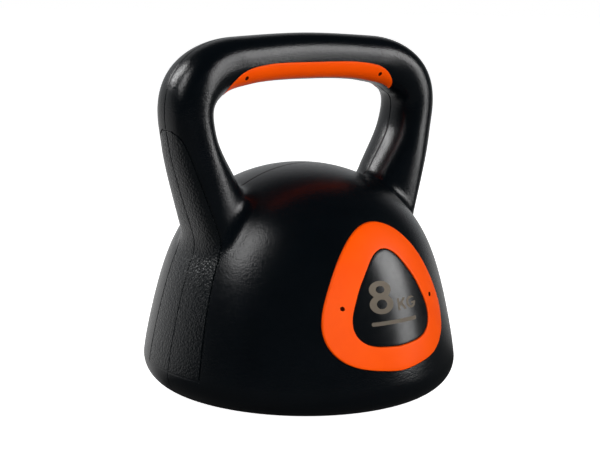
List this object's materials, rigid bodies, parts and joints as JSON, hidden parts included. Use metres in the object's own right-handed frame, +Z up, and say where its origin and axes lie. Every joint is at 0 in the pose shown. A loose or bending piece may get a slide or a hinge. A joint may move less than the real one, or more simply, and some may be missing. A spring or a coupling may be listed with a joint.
{
  "type": "kettlebell",
  "caption": "Dome-shaped kettlebell with a wide loop handle, a two-half plastic casing over a filled core, trim rings, badges and grip inserts.",
  "frame": {"origin": "middle of the base, on the floor it stands on", "axes": "+Z up, X along the handle bar, the front badge faces -Y"},
  "size_m": [0.2134, 0.2088, 0.2303],
  "materials": {
    "casing_plastic": "satin, fine leather grain",
    "orange_trim": "satin",
    "badge_plastic": "smooth, half gloss",
    "core_fill": "rough set cement mix with mineral and iron grit",
    "core_steel": "drawn bar",
    "plug_plastic": "matt"
  },
  "bodies": {
    "root": {"front_shell": "casing_plastic", "rear_shell": "casing_plastic", "front_ring": "orange_trim", "rear_ring": "orange_trim", "front_badge": "badge_plastic", "rear_badge": "badge_plastic", "front_grip_insert": "orange_trim", "rear_grip_insert": "orange_trim", "weight_core": "core_fill", "handle_reinforcement": "core_steel", "fill_plug": "plug_plastic"}
  },
  "joints": []
}
